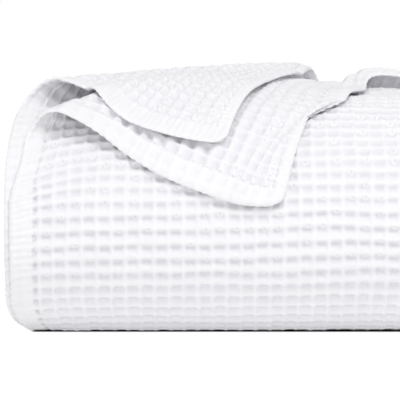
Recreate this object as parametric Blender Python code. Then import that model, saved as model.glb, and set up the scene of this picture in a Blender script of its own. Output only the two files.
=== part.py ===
"""Waffle weave cotton blanket, folded six layers across and eight along, with the back left
corner of its two top layers turned down over the front.

Millimetres are used inside the tables and functions, and metres in the mesh.  x runs along the
folded front, y from the front to the back, z up.
"""
from math import cos, pi, radians, sin

import bmesh
import bpy
import numpy as np

MM = 0.001

# Cloth, in millimetres
LAYER_PITCH = 2.95          # middle of one layer to the middle of the next
CLOTH_THICKNESS = 2.4
FOLDED_WIDTH = 381.0        # a sixth of the flat length
LAYERS_ACROSS = 6

# Front of the outermost layer, from the floor up to the crown: bend radius and the angle that the
# cloth has turned to at the end of each stretch, 0 where it faces straight forward
FRONT_BENDS = [
    # name, radius, end angle
    ("belly", 56.0, 0.0),
    ("shoulder", 70.0, 40.0),
    ("crown", 110.0, 90.0),
]
FRONT_STEPS = 12            # over the whole front

# Folds at the two sides, in the order that the cloth runs through them
SIDE_FOLDS = [
    # name, side, layer before, layer after, steps
    ("outer third", "right", 0, 3, 5),
    ("left inner", "left", 3, 4, 3),
    ("middle of the cloth", "right", 4, 5, 3),
    ("left outer", "left", 5, 2, 5),
    ("inner third", "right", 2, 1, 3),
]
FOLD_MARGIN = 6.0           # straight part of the side folds starts this far from the side

# Each time round, the layers sit a little to one side and turn back at another depth
LOOP_TABLE = [
    # name, sideways shift, reach of the back fold or hem from the front
    ("outer", 0.0, 222.0),
    ("second", 2.0, 215.0),
    ("third", 1.0, 219.0),
    ("inner", 2.6, 211.0),
]
BACK_FOLD_STEPS = 5

# The two layers whose corner is turned over.  The crease leaves the left hem at crease_at,
# measured up the cloth from the floor, and runs back to the right at crease_angle.
TOP_LAYER = {
    "depth": 0.0,           # layers under the outermost one
    "first_row": 0,         # crease row that meets the left end of the crease
    "hem_at": 3.5,          # left hem
    "crease_at": 158.0,
    "corner_length": 176.0,  # left hem from the crease to the corner
    "crease_angle": 35.0,
    "settle_radius": 60.0,  # where the flap comes down flat
    "forward_slip": 11.0,   # the left hem of the flap sags towards the floor
    "slip_bias": 1.3,
    "side_slip": 9.0,       # the end hem of the flap is drawn in to the left
    "side_bias": 2.0,
    "end_step": 18.0,       # and juts out to the right in one place
    "curve": -24.0,         # the crease bends this far to the back from its straight line
    "curve_start": 258.0,   # between these places along it
    "curve_end": 306.0,
    "curve_back": 370.0,    # and has come back to the line here
    "left_arch": 11.0,      # the left hem arches to the right where it passes over the roll
    "left_dip": 14.0,       # the crease dips towards the floor at the left hem
    "hem_tuck": 5.0,        # the left hem is tucked in to the right at the crease
    "rolls": [
        # along the crease, height of the roll, rise before it, slope of the flap, landing height
        (0.0, 20.0, 0.0, 24.0, 4.2),
        (40.0, 14.0, 0.0, 17.0, 4.2),
        (100.0, 10.0, 0.0, 11.0, 4.2),
        (150.0, 10.0, 0.0, 10.0, 4.2),
        (200.0, 12.0, 0.0, 12.0, 4.2),
        (240.0, 8.5, 0.0, 13.0, 4.2),
        (252.0, 9.0, 0.0, 16.0, 4.2),
        (266.0, 12.0, 3.5, 22.0, 4.2),
        (290.0, 12.0, 3.0, 22.0, 4.2),
        (340.0, 9.0, 0.0, 18.0, 4.2),
    ],
}
UNDER_LAYER = {
    "depth": 1.0,
    "first_row": 1,
    "hem_at": 0.0,
    "crease_at": 187.0,
    "corner_length": 161.0,
    "crease_angle": 33.0,
    "settle_radius": 60.0,
    "forward_slip": 4.0,
    "slip_bias": 1.2,
    "side_slip": 13.0,
    "side_bias": 1.0,
    "end_step": 0.0,
    "curve": 34.0,
    "curve_start": 200.0,
    "curve_end": 310.0,
    "curve_back": 420.0,
    "left_arch": 17.0,
    "left_dip": 0.0,
    "hem_tuck": 0.0,
    "rolls": [
        (0.0, 22.0, 0.0, 7.0, 11.0),
        (30.0, 18.0, 0.0, 8.0, 11.0),
        (60.0, 17.0, 0.0, 11.0, 11.0),
        (110.0, 20.0, 0.0, 12.0, 11.0),
        (150.0, 21.0, 0.5, 16.0, 11.0),
        (200.0, 19.5, 3.5, 24.0, 11.0),
        (228.0, 18.0, 4.0, 24.0, 11.0),
        (255.0, 13.0, 2.5, 16.0, 11.0),
        (330.0, 12.0, 0.0, 12.0, 11.0),
    ],
}
RISE_LENGTH = 42.0          # how far ahead of the crease the cloth starts to rise
SLIP_START = 20.0           # distance from the crease where the flap's hems start to slip
LEFT_FADE = 90.0            # how far in from the left hem its slip is felt
DIP_LENGTH = 60.0           # the crease dips at the left hem, felt this far ahead of it
DIP_FADE = 45.0             # and this far along it
ARCH_AT = 40.0              # distance from the crease where the left hem arches to the right
ARCH_WIDTH = 26.0
STEP_LOW = 97.0            # distances from the crease between which the end hem juts out
STEP_FULL = 86.0
STEP_HIGH = 30.0
END_FADE = 70.0             # how far in from the end hem its slip is felt
TUCK_LENGTH = 35.0          # left hem drawn in, this far ahead of the crease
TUCK_FADE = 50.0
TURN_START = 100.0          # degrees the cloth has turned where it can rest on the top layer
TURN_BLEND = 50.0
FLAP_GAP = 0.6              # between the two flaps, over the usual gap of the layers
FLAP_EASE = 3.0             # how gently one flap comes to lie on the other
CREASE_CLEAR = 12.0         # last section of the front ends this far below the crease
CREASE_ROWS = 12            # steps along the top layer's crease
HEM_SEARCH_STEPS = 4000     # places tried along the crease to find the end hem
# Distances from the crease, across the roll and down the flap, as shares of the whole
FLAP_ROWS = [0.0, 0.033, 0.066, 0.1, 0.135, 0.175, 0.22, 0.28, 0.37, 0.52, 0.68, 0.83, 0.95]

# The ends of the bundle draw in near the floor and near the crown
END_DRAW = [
    # name, height it starts at, height it is full at, how much, how sharply
    ("floor", 28.0, 0.0, 10.0, 2.4),
    ("crown", 85.0, 137.0, 3.0, 2.2),
]
END_DRAW_REACH = 90.0

COTTON_COLOUR = (0.87, 0.87, 0.88, 1.0)
COTTON_ROUGHNESS = 0.95


def frontCurve():
    """Start length, place and angle of every bend, then the length and height of the front."""
    bends = []
    length = y = z = 0.0
    angle = -pi / 2
    for _, radius, end in FRONT_BENDS:
        end = radians(end)
        bends.append((length, y, z, angle, radius))
        y -= radius * (cos(end) - cos(angle))
        z += radius * (sin(end) - sin(angle))
        length += radius * (end - angle)
        angle = end
    return bends, length, y, z


BENDS, FRONT_LENGTH, CROWN_Y, CLOTH_RISE = frontCurve()
HALF_RISE = CLOTH_RISE / 2


def alongFront(v):
    """y, z and angle on the outermost layer, v along the cloth from where it leaves the floor."""
    v = np.asarray(v, float)
    y = np.where(v > FRONT_LENGTH, CROWN_Y + v - FRONT_LENGTH, -v)
    z = np.where(v > FRONT_LENGTH, CLOTH_RISE, 0.0)
    angle = np.where(v > FRONT_LENGTH, pi / 2, -pi / 2)
    for start, y0, z0, angle0, radius in BENDS:
        here = (v > start) & (v <= FRONT_LENGTH)
        turned = angle0 + (v - start) / radius
        y = np.where(here, y0 - radius * (np.cos(turned) - cos(angle0)), y)
        z = np.where(here, z0 + radius * (np.sin(turned) - sin(angle0)), z)
        angle = np.where(here, turned, angle)
    return y, z, angle


FRONT_Y = float(alongFront(np.linspace(0.0, FRONT_LENGTH, 2001))[0].min())


def wrap(x, v, lift):
    """Place on the bundle of a point v along the outermost layer and lift outside it.

    Under the outermost layer the loops are smaller copies of it about one centre.
    """
    y, z, angle = alongFront(v)
    y = y - FRONT_Y
    inside = np.minimum(lift, 0.0)
    outside = np.maximum(lift, 0.0)
    scale = 1.0 + inside / HALF_RISE
    bendEnd = np.where(v > FRONT_LENGTH, CROWN_Y, 0.0) - FRONT_Y
    straight = np.maximum(v - FRONT_LENGTH, 0.0) + np.maximum(-v, 0.0)
    onBend = np.where((v > FRONT_LENGTH) | (v < 0.0), bendEnd, y)
    placeY = HALF_RISE + scale * (onBend - HALF_RISE) + straight - np.cos(angle) * outside
    placeZ = HALF_RISE + scale * (z - HALF_RISE) + np.sin(angle) * outside
    return np.stack(np.broadcast_arrays(x, placeY, placeZ + CLOTH_THICKNESS / 2), -1)


def fromTable(table, at):
    """Smooth values of the table's other columns at a place along its first column."""
    at = np.asarray(at, float)
    rows = np.array(table, float)
    knots = rows[:, 0]
    low = np.clip(np.searchsorted(knots, at) - 1, 0, len(knots) - 2)
    step = knots[low + 1] - knots[low]
    u = np.clip((at - knots[low]) / step, 0.0, 1.0)
    values = []
    for column in rows[:, 1:].T:
        slope = np.gradient(column, knots)
        values.append(
            (2 * u**3 - 3 * u**2 + 1) * column[low]
            + (u**3 - 2 * u**2 + u) * step * slope[low]
            + (3 * u**2 - 2 * u**3) * column[low + 1]
            + (u**3 - u**2) * step * slope[low + 1]
        )
    return values


def ease(low, high, at):
    """0 at low and 1 at high, with a smooth start and end."""
    share = np.clip((at - low) / (high - low), 0.0, 1.0)
    return share**2 * (3 - 2 * share)


def rollProfile(layer, along, away):
    """Section across the crease: reach, height and angle of the cloth at a distance from it.

    The cloth rolls up and over, comes down at the flap's slope and settles where it lands.
    """
    height, lead, slope, land = fromTable(layer["rolls"], along)
    slope = np.radians(slope)
    radius = height / 2
    settle = layer["settle_radius"]
    fall = lead + radius * (1 + np.cos(slope)) - settle * (1 - np.cos(slope)) - land
    drop = np.maximum(fall / np.sin(slope), 0.0)
    rolled = radius * (pi + slope)
    turned = np.minimum(np.maximum(away, 0.0), rolled) / radius
    reach = radius * np.sin(turned)
    rise = radius * (1 - np.cos(turned))
    falling = np.clip(away - rolled, 0.0, drop)
    reach = reach - falling * np.cos(slope)
    rise = rise - falling * np.sin(slope)
    settling = np.clip(away - rolled - drop, 0.0, settle * slope)
    angle = turned - settling / settle
    past = settling > 0.0
    reach = reach - np.where(past, settle * (np.sin(angle) + np.sin(slope)), 0.0)
    rise = rise + np.where(past, settle * (np.cos(angle) + np.cos(slope)), 0.0)
    reach = reach - np.maximum(away - rolled - drop - settle * slope, 0.0)
    ahead = away < 0.0
    rise = np.where(ahead, 0.0, rise) + lead * ease(-RISE_LENGTH, 0.0, away)
    return np.where(ahead, away, reach), rise, np.where(ahead, 0.0, angle)


def flapTop(layer, along, reach, clear):
    """Height over the crease's cloth that clears the roll and its flap by the given distance."""
    height, lead, slope, land = fromTable(layer["rolls"], along)
    slope = np.radians(slope)
    radius = height / 2
    outer = radius + clear
    overRoll = lead + radius + np.sqrt(np.maximum(outer**2 - reach**2, 0.0))
    leaves = -outer * np.sin(slope)
    overFlap = lead + radius + outer * np.cos(slope) + (reach - leaves) * np.tan(slope)
    top = np.where(reach > leaves, overRoll, np.maximum(overFlap, land + clear))
    return np.where(reach > outer, 0.0, top)


def creaseAxes(layer):
    """Directions along the crease and away from it, on the cloth."""
    angle = radians(layer["crease_angle"])
    return np.array([cos(angle), sin(angle)]), np.array([-sin(angle), cos(angle)])


def creaseCurve(layer, along):
    """How far the crease lies behind its straight line."""
    curve = layer["curve"] * ease(layer["curve_start"], layer["curve_end"], along)
    return curve * (1 - ease(layer["curve_end"], layer["curve_back"], along))


def turnedCorner(layer, x, v, side):
    """Place of a point of a turned layer, given where it lies on the cloth before turning."""
    x = np.asarray(x, float)
    v = np.asarray(v, float)
    fore, back = creaseAxes(layer)
    dx = x - layer["hem_at"]
    dv = v - layer["crease_at"]
    along = dx * fore[0] + dv * fore[1]
    curve = creaseCurve(layer, along)
    away = dx * back[0] + dv * back[1] - curve
    reach, rise, angle = rollProfile(layer, along, away)
    reach = reach + curve - np.sin(angle) * side
    rise = rise + np.cos(angle) * side
    whole = layer["corner_length"] * fore[0]
    down = np.clip((away - SLIP_START) / (whole - SLIP_START), 0.0, 1.0)
    leftFade = np.exp(-np.maximum(dx, 0.0) / LEFT_FADE)
    dip = layer["left_dip"] * np.exp(-np.maximum(along, 0.0) / DIP_FADE)
    dip = dip * ease(-DIP_LENGTH, 0.0, away)
    reach = reach - layer["forward_slip"] * np.sin(pi * down ** layer["slip_bias"]) * leftFade
    arch = layer["left_arch"] * np.exp(-(((away - ARCH_AT) / ARCH_WIDTH) ** 2))
    endFade = np.exp(-np.maximum(layer["corner_length"] - dv, 0.0) / END_FADE)
    slip = layer["side_slip"] * np.sin(pi * np.clip(away / whole, 0.0, 1.0) ** layer["side_bias"])
    along = along + arch * leftFade - slip * endFade
    step = layer["end_step"] * ease(STEP_LOW, STEP_FULL, away) * ease(STEP_HIGH, STEP_FULL, away)
    tuck = layer["hem_tuck"] * ease(-TUCK_LENGTH, 0.0, away)
    shift = tuck * np.exp(-np.maximum(dx, 0.0) / TUCK_FADE) + step * endFade**2
    placeX = layer["hem_at"] + along * fore[0] + reach * back[0] + shift
    placeV = layer["crease_at"] + along * fore[1] + reach * back[1] - dip
    lift = rise - layer["depth"] * LAYER_PITCH
    if layer is not TOP_LAYER:
        lift = restOnTopLayer(placeX, placeV, lift, angle, side)
    return wrap(placeX, placeV, lift)


def restOnTopLayer(x, v, lift, angle, side):
    """The under layer's flap lies over the top layer's roll and flap, never through them."""
    fore, back = creaseAxes(TOP_LAYER)
    dx = x - TOP_LAYER["hem_at"] - TOP_LAYER["hem_tuck"]
    dv = v - TOP_LAYER["crease_at"]
    along = dx * fore[0] + dv * fore[1]
    away = dx * back[0] + dv * back[1] - creaseCurve(TOP_LAYER, along)
    least = flapTop(TOP_LAYER, along, away, LAYER_PITCH + FLAP_GAP) - side
    turned = np.clip((np.degrees(angle) - TURN_START) / TURN_BLEND, 0.0, 1.0)
    gap = lift - least
    lifted = least + 0.5 * (gap + np.sqrt(gap**2 + FLAP_EASE**2))
    return lift + turned * (lifted - lift)


def drawnEnds(points):
    """Draws both ends of the bundle in towards its middle near the floor and the crown."""
    x, _, z = points[..., 0], points[..., 1], points[..., 2]
    drawn = 0.0
    for _, start, full, amount, power in END_DRAW:
        drawn = drawn + amount * np.clip((z - start) / (full - start), 0.0, 1.3) ** power
    left = np.clip(1 - x / END_DRAW_REACH, 0.0, 1.1) ** 2
    right = np.clip(1 - (FOLDED_WIDTH - x) / END_DRAW_REACH, 0.0, 1.1) ** 2
    moved = points.copy()
    moved[..., 0] = x + drawn * (left - right)
    return moved


def sectionLine():
    """Middle line of the six layers seen from the front: x, depth under the outermost, heading.

    The cloth is folded in half and then in three, so both side hems end on top at the left.
    """
    line = [(TOP_LAYER["hem_at"], 0.0, 0.0)]
    heading = 0.0
    for _, end, before, after, steps in SIDE_FOLDS:
        outward = 1.0 if end == "right" else -1.0
        foldX = FOLDED_WIDTH - FOLD_MARGIN if end == "right" else FOLD_MARGIN
        radius = abs(after - before) * LAYER_PITCH / 2
        middle = (before + after) * LAYER_PITCH / 2
        swing = -outward if after > before else outward
        for step in range(steps + 1):
            turned = heading + swing * pi * step / steps
            x = foldX - swing * radius * -sin(turned)
            depth = middle + swing * radius * cos(turned)
            line.append((x, depth, turned))
        heading += swing * pi
    line.append((UNDER_LAYER["hem_at"], LAYER_PITCH, heading))
    return np.array(line)


def rowShare(layer, row):
    """Share of a layer's crease at which a crease row meets it, below 0 where it passes ahead."""
    return (row - layer["first_row"]) / (CREASE_ROWS - layer["first_row"])


def creaseRow(row, depth):
    """Length along the cloth of a crease row, a little different for the under layer."""
    top = TOP_LAYER["crease_at"] + TOP_LAYER["corner_length"] * rowShare(TOP_LAYER, row)
    share = rowShare(UNDER_LAYER, row)
    under = UNDER_LAYER["crease_at"] + UNDER_LAYER["corner_length"] * share if share >= 0.0 else top
    return top + (under - top) * np.clip(depth / LAYER_PITCH, 0.0, 1.0)


def stations():
    """Every section along the cloth, from the end hem on top to the end hem inside."""
    found = [("crease", 0, row) for row in range(CREASE_ROWS, -1, -1)]
    front = np.linspace(FRONT_LENGTH, 0.0, FRONT_STEPS + 1)
    for loop in range(len(LOOP_TABLE)):
        runs = front if loop % 2 == 0 else front[::-1]
        if loop == 0:
            runs = [v for v in runs if v < TOP_LAYER["crease_at"] - CREASE_CLEAR]
        found += [("front", loop, v) for v in runs]
        if loop < len(LOOP_TABLE) - 1:
            found += [("back", loop, step / BACK_FOLD_STEPS) for step in range(BACK_FOLD_STEPS + 1)]
    found.append(("hem", len(LOOP_TABLE) - 1, 0.0))
    return found


def placeSection(station, x, depth):
    """Places of section points given by x and depth under the outermost layer."""
    kind, loop, at = station
    slab = LAYERS_ACROSS * LAYER_PITCH
    _, shift, reach = LOOP_TABLE[loop]
    under = loop * slab + (depth if loop % 2 == 0 else slab - LAYER_PITCH - depth)
    if kind == "crease":
        return wrap(x, creaseRow(at, depth), -depth)
    if kind == "front":
        return wrap(x + shift, np.full_like(x, at), -under)
    if kind == "hem":
        z = CLOTH_THICKNESS / 2 + CLOTH_RISE - under
        return np.stack([x + shift, np.full_like(x, reach), z], -1)
    radiusMost = slab - LAYER_PITCH / 2
    turn = -pi / 2 + pi * at
    if loop % 2 == 0:
        middleZ = CLOTH_THICKNESS / 2 + (loop + 1) * slab - LAYER_PITCH / 2
        radius = radiusMost - depth
    else:
        middleZ = CLOTH_THICKNESS / 2 + CLOTH_RISE - (loop + 1) * slab + LAYER_PITCH / 2
        radius = depth + LAYER_PITCH / 2
        turn = -turn
    nextShift = LOOP_TABLE[loop + 1][1]
    middleY = reach - CLOTH_THICKNESS / 2 - radiusMost
    return np.stack(
        [
            x + shift + (nextShift - shift) * at,
            middleY + radius * cos(turn),
            middleZ + radius * sin(turn),
        ],
        -1,
    )


def sideOf(line, side):
    """x and depth of one face of the cloth along the section line."""
    half = CLOTH_THICKNESS / 2 * side
    return line[:, 0] - np.sin(line[:, 2]) * half, line[:, 1] - np.cos(line[:, 2]) * half


def clothPoint(layer, along, away):
    """Point of a layer before turning, given along its curved crease and away from it."""
    fore, back = creaseAxes(layer)
    offset = along * fore + (away + creaseCurve(layer, along)) * back
    return layer["hem_at"] + offset[0], layer["crease_at"] + offset[1]


def endHemAlong(layer, away):
    """How far along the crease the end hem lies at a distance from it."""
    along = np.linspace(0.0, FOLDED_WIDTH, HEM_SEARCH_STEPS)
    _, back = creaseAxes(layer)
    curved = away + creaseCurve(layer, along)
    length = along * sin(radians(layer["crease_angle"])) + curved * back[1]
    return float(along[np.argmax(length >= layer["corner_length"])])


def creasePoint(layer, row):
    """Where a layer's hem or crease meets a crease row, on the cloth before turning."""
    share = rowShare(layer, row)
    if share < 0.0:
        return layer["hem_at"], float(creaseRow(row, layer["depth"] * LAYER_PITCH))
    return clothPoint(layer, share * endHemAlong(layer, 0.0), 0.0)


class Blanket:
    """Collects the vertices and faces of the one closed cloth."""

    def __init__(self):
        self.mesh = bmesh.new()

    def vertex(self, place):
        return self.mesh.verts.new(place * MM)

    def face(self, *corners):
        self.mesh.faces.new(corners)


def sweepSections(blanket):
    """Both faces of the cloth at every station, with the two free hems of the top layers."""
    line = sectionLine()
    rows = []
    for station in stations():
        pair = []
        for side in (1.0, -1.0):
            x, depth = sideOf(line, side)
            places = placeSection(station, x, depth)
            kind, loop, at = station
            if loop == 0 and kind != "back":
                for layer, index, up in ((TOP_LAYER, 0, side), (UNDER_LAYER, -1, -side)):
                    hemX, v = layer["hem_at"], at
                    if kind == "crease":
                        hemX, v = creasePoint(layer, at)
                    places[index] = turnedCorner(layer, hemX, v, up * CLOTH_THICKNESS / 2)
            pair.append([blanket.vertex(place) for place in drawnEnds(places)])
        rows.append((station, pair))
    for (station, here), (_, there) in zip(rows, rows[1:]):
        for side in range(2):
            for i in range(len(line) - 1):
                blanket.face(here[side][i], here[side][i + 1], there[side][i + 1], there[side][i])
        creaseIndex = station[2] if station[0] == "crease" else -1
        if creaseIndex <= 0:
            blanket.face(here[0][0], here[1][0], there[1][0], there[0][0])
        if creaseIndex <= 1:
            blanket.face(here[0][-1], here[1][-1], there[1][-1], there[0][-1])
    for pair in (rows[0][1], rows[-1][1]):
        for i in range(len(line) - 1):
            blanket.face(pair[0][i], pair[0][i + 1], pair[1][i + 1], pair[1][i])
    return rows


def turnFlap(blanket, rows, layer, index, upper):
    """The turned corner of one layer, from its crease to its point."""
    crease = [rows[CREASE_ROWS - row][1] for row in range(layer["first_row"], CREASE_ROWS + 1)]
    lines = [[(pair[upper][index], pair[1 - upper][index]) for pair in crease]]
    fore, back = creaseAxes(layer)
    whole = layer["corner_length"] * fore[0]
    half = CLOTH_THICKNESS / 2
    count = len(crease) - 1

    def pairAt(x, v):
        faces = []
        for side in (half, -half):
            place = turnedCorner(layer, x, v, side)
            faces.append(blanket.vertex(drawnEnds(place.reshape(1, 3))[0]))
        return tuple(faces)

    for share in FLAP_ROWS[1:]:
        away = share * whole
        onHem = -away * back[0] / fore[0]
        onEnd = endHemAlong(layer, away)
        places = [onHem + (onEnd - onHem) * i / count for i in range(count + 1)]
        lines.append([pairAt(*clothPoint(layer, along, away)) for along in places])
    corner = pairAt(layer["hem_at"], layer["crease_at"] + layer["corner_length"])
    for here, there in zip(lines, lines[1:]):
        for side in range(2):
            for i in range(len(here) - 1):
                blanket.face(here[i][side], here[i + 1][side], there[i + 1][side], there[i][side])
        for end in (0, -1):
            blanket.face(here[end][0], here[end][1], there[end][1], there[end][0])
    last = lines[-1]
    for side in range(2):
        for i in range(len(last) - 1):
            blanket.face(last[i][side], last[i + 1][side], corner[side])
    for end in (0, -1):
        blanket.face(last[end][0], last[end][1], corner[1], corner[0])


def makeBlanket():
    blanket = Blanket()
    rows = sweepSections(blanket)
    turnFlap(blanket, rows, TOP_LAYER, 0, 0)
    turnFlap(blanket, rows, UNDER_LAYER, -1, 1)
    mesh = blanket.mesh
    bmesh.ops.recalc_face_normals(mesh, faces=mesh.faces)
    low = [min(v.co[axis] for v in mesh.verts) for axis in range(3)]
    high = [max(v.co[axis] for v in mesh.verts) for axis in range(3)]
    middle = ((low[0] + high[0]) / 2, (low[1] + high[1]) / 2, low[2])
    bmesh.ops.translate(mesh, verts=mesh.verts, vec=[-value for value in middle])
    bmesh.ops.triangulate(mesh, faces=mesh.faces, quad_method="SHORT_EDGE")
    data = bpy.data.meshes.new("blanket")
    mesh.to_mesh(data)
    mesh.free()
    data.shade_smooth()
    data.set_sharp_from_angle(angle=radians(40.0))
    return bpy.data.objects.new("blanket", data)


def cottonMaterial():
    material = bpy.data.materials.new("cotton")
    material.use_nodes = True
    shader = material.node_tree.nodes["Principled BSDF"]
    shader.inputs["Base Color"].default_value = COTTON_COLOUR
    shader.inputs["Roughness"].default_value = COTTON_ROUGHNESS
    shader.inputs["Metallic"].default_value = 0.0
    material.diffuse_color = COTTON_COLOUR
    return material


def main():
    for found in list(bpy.data.objects):
        bpy.data.objects.remove(found, do_unlink=True)
    collection = bpy.data.collections.new("waffle_weave_blanket")
    bpy.context.scene.collection.children.link(collection)
    blanket = makeBlanket()
    blanket.data.materials.append(cottonMaterial())
    collection.objects.link(blanket)


main()
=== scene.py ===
from functools import partial
from math import cos, pi, radians, sin, tan

import bpy
import numpy as np
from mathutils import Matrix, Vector


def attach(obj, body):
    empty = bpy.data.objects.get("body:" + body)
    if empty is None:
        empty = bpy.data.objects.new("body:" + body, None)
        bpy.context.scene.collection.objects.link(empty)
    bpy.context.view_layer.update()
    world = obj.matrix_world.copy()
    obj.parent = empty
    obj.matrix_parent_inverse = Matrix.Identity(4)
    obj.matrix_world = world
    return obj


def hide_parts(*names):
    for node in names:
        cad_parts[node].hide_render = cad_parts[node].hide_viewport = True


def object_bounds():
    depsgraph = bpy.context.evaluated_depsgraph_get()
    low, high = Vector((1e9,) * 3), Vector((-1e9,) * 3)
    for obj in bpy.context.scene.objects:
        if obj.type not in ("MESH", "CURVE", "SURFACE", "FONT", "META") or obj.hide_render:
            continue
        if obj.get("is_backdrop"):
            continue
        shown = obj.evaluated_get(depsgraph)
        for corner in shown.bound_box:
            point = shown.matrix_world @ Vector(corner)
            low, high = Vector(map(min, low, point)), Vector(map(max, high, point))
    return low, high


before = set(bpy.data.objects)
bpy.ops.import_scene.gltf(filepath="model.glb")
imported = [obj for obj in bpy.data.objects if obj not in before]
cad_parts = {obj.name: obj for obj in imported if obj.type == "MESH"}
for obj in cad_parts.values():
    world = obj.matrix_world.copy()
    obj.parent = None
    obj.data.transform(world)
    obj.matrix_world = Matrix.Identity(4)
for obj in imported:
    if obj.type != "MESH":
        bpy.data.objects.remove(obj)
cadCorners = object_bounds()

# Millimetres in the tables and functions.  x runs along the folded front and y from front to
# back, and the middle of the model is taken off when the meshes are made.

bundle = {
    "layerPitch": 2.95,  # middle of one layer to the middle of the next
    "thickness": 2.4,
    "foldedWidth": 381.0,
    "layersAcross": 6,
    "foldMargin": 6.0,  # from the side to the straight part of its folds
    "frontBends": [
        # radius, angle it ends at; 0 faces straight forward
        (56.0, 0.0),
        (70.0, 40.0),
        (110.0, 90.0),
    ],
    "loops": [
        # sideways shift, reach of the back fold or hem from the front
        (0.0, 222.0),
        (2.0, 215.0),
        (1.0, 219.0),
        (2.6, 211.0),
    ],
    "endDraw": [
        # height it starts at, height it is full at, how much, how sharply
        (28.0, 0.0, 10.0, 2.4),
        (85.0, 137.0, 3.0, 2.2),
    ],
    "endDrawReach": 90.0,
    "endDrawMost": (1.3, 1.1),  # shares of height and reach past which it grows no more
    "endHem": 348.0,  # end hem of all but the top layer, along the top from the floor
    "middle": (191.47, 109.59, 0.0),
}

# The two layers whose corner is turned over.  The crease leaves the left hem at creaseAt,
# measured up the cloth from the floor, and runs back to the right at creaseAngle.
topLayer = {
    "depth": 0,
    "hemAt": 3.5,
    "creaseAt": 158.0,
    "cornerLength": 176.0,
    "creaseAngle": 35.0,
    "landing": 4.2,  # height of the flap where it lies flat again
    "forwardSlip": 11.0,  # the left hem of the flap sags towards the floor
    "slipBias": 1.3,
    "sideSlip": 9.0,  # the end hem is drawn in to the left
    "sideBias": 2.0,
    "endStep": 18.0,  # and juts out to the right in one place
    "curve": -24.0,  # the crease bends back this far from its straight line
    "curveStart": 258.0,  # between these places along it
    "curveEnd": 306.0,
    "curveBack": 370.0,  # and has come back to the line here
    "leftArch": 11.0,  # the left hem arches to the right over the roll
    "leftDip": 14.0,  # the crease dips at the left hem
    "hemTuck": 5.0,
    "rolls": [
        # along the crease, height of the roll, rise before it, slope of the flap
        (0.0, 20.0, 0.0, 24.0),
        (40.0, 14.0, 0.0, 17.0),
        (100.0, 10.0, 0.0, 11.0),
        (150.0, 10.0, 0.0, 10.0),
        (200.0, 12.0, 0.0, 12.0),
        (240.0, 8.5, 0.0, 13.0),
        (252.0, 9.0, 0.0, 16.0),
        (266.0, 12.0, 3.5, 22.0),
        (290.0, 12.0, 3.0, 22.0),
        (340.0, 9.0, 0.0, 18.0),
    ],
}
underLayer = {
    "depth": 1,
    "hemAt": 0.0,
    "creaseAt": 187.0,
    "cornerLength": 161.0,
    "creaseAngle": 33.0,
    "landing": 11.0,
    "forwardSlip": 4.0,
    "slipBias": 1.2,
    "sideSlip": 13.0,
    "sideBias": 1.0,
    "endStep": 0.0,
    "curve": 34.0,
    "curveStart": 200.0,
    "curveEnd": 310.0,
    "curveBack": 420.0,
    "leftArch": 17.0,
    "leftDip": 0.0,
    "hemTuck": 0.0,
    "rolls": [
        (0.0, 22.0, 0.0, 7.0),
        (30.0, 18.0, 0.0, 8.0),
        (60.0, 17.0, 0.0, 11.0),
        (110.0, 20.0, 0.0, 12.0),
        (150.0, 21.0, 0.5, 16.0),
        (200.0, 19.5, 3.5, 24.0),
        (228.0, 18.0, 4.0, 24.0),
        (255.0, 13.0, 2.5, 16.0),
        (330.0, 12.0, 0.0, 12.0),
    ],
}
turning = {
    # distances from the crease or from a hem over which each of these is felt, or starts
    "riseLength": 42.0,
    "slipStart": 20.0,
    "leftFade": 90.0,
    "dipLength": 60.0,
    "dipFade": 45.0,
    "archAt": 40.0,
    "archWidth": 26.0,
    "stepLow": 97.0,
    "stepFull": 86.0,
    "stepHigh": 30.0,
    "stepSpread": 1.0,
    "stepFade": 26.0,
    "endFade": 70.0,
    "tuckLength": 35.0,
    "tuckFade": 50.0,
    "settleRadius": 60.0,
    # the second layer rests on the top one once it has turned this many degrees
    "turnStart": 100.0,
    "turnBlend": 50.0,
    "flapGap": 0.6,
    "flapEase": 3.0,
}

pitch = bundle["layerPitch"]
halfThick = bundle["thickness"] / 2
slab = bundle["layersAcross"] * pitch


def frontCurve():
    bends = []
    length = y = z = 0.0
    angle = -pi / 2
    for radius, end in bundle["frontBends"]:
        end = radians(end)
        bends.append((length, y, z, angle, radius))
        y -= radius * (cos(end) - cos(angle))
        z += radius * (sin(end) - sin(angle))
        length += radius * (end - angle)
        angle = end
    return bends, length, y, z


bends, frontLength, crownY, clothRise = frontCurve()
halfRise = clothRise / 2


def alongFront(v):
    # y, z and angle on the outermost layer, v along the cloth from where it leaves the floor
    v = np.asarray(v, float)
    y = np.where(v > frontLength, crownY + v - frontLength, -v)
    z = np.where(v > frontLength, clothRise, 0.0)
    angle = np.where(v > frontLength, pi / 2, -pi / 2)
    for start, y0, z0, angle0, radius in bends:
        here = (v > start) & (v <= frontLength)
        turned = angle0 + (v - start) / radius
        y = np.where(here, y0 - radius * (np.cos(turned) - cos(angle0)), y)
        z = np.where(here, z0 + radius * (np.sin(turned) - sin(angle0)), z)
        angle = np.where(here, turned, angle)
    return y, z, angle


frontY = float(alongFront(np.linspace(0.0, frontLength, 2001))[0].min())


def wrap(x, v, lift):
    # place on the bundle of a point v along the outermost layer and lift outside it
    y, z, angle = alongFront(v)
    y = y - frontY
    inside = np.minimum(lift, 0.0)
    outside = np.maximum(lift, 0.0)
    scale = 1.0 + inside / halfRise
    bendEnd = np.where(v > frontLength, crownY, 0.0) - frontY
    straight = np.maximum(v - frontLength, 0.0) + np.maximum(-v, 0.0)
    onBend = np.where((v > frontLength) | (v < 0.0), bendEnd, y)
    placeY = halfRise + scale * (onBend - halfRise) + straight - np.cos(angle) * outside
    placeZ = halfRise + scale * (z - halfRise) + np.sin(angle) * outside
    return np.stack(np.broadcast_arrays(x, placeY, placeZ + halfThick), -1)


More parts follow.
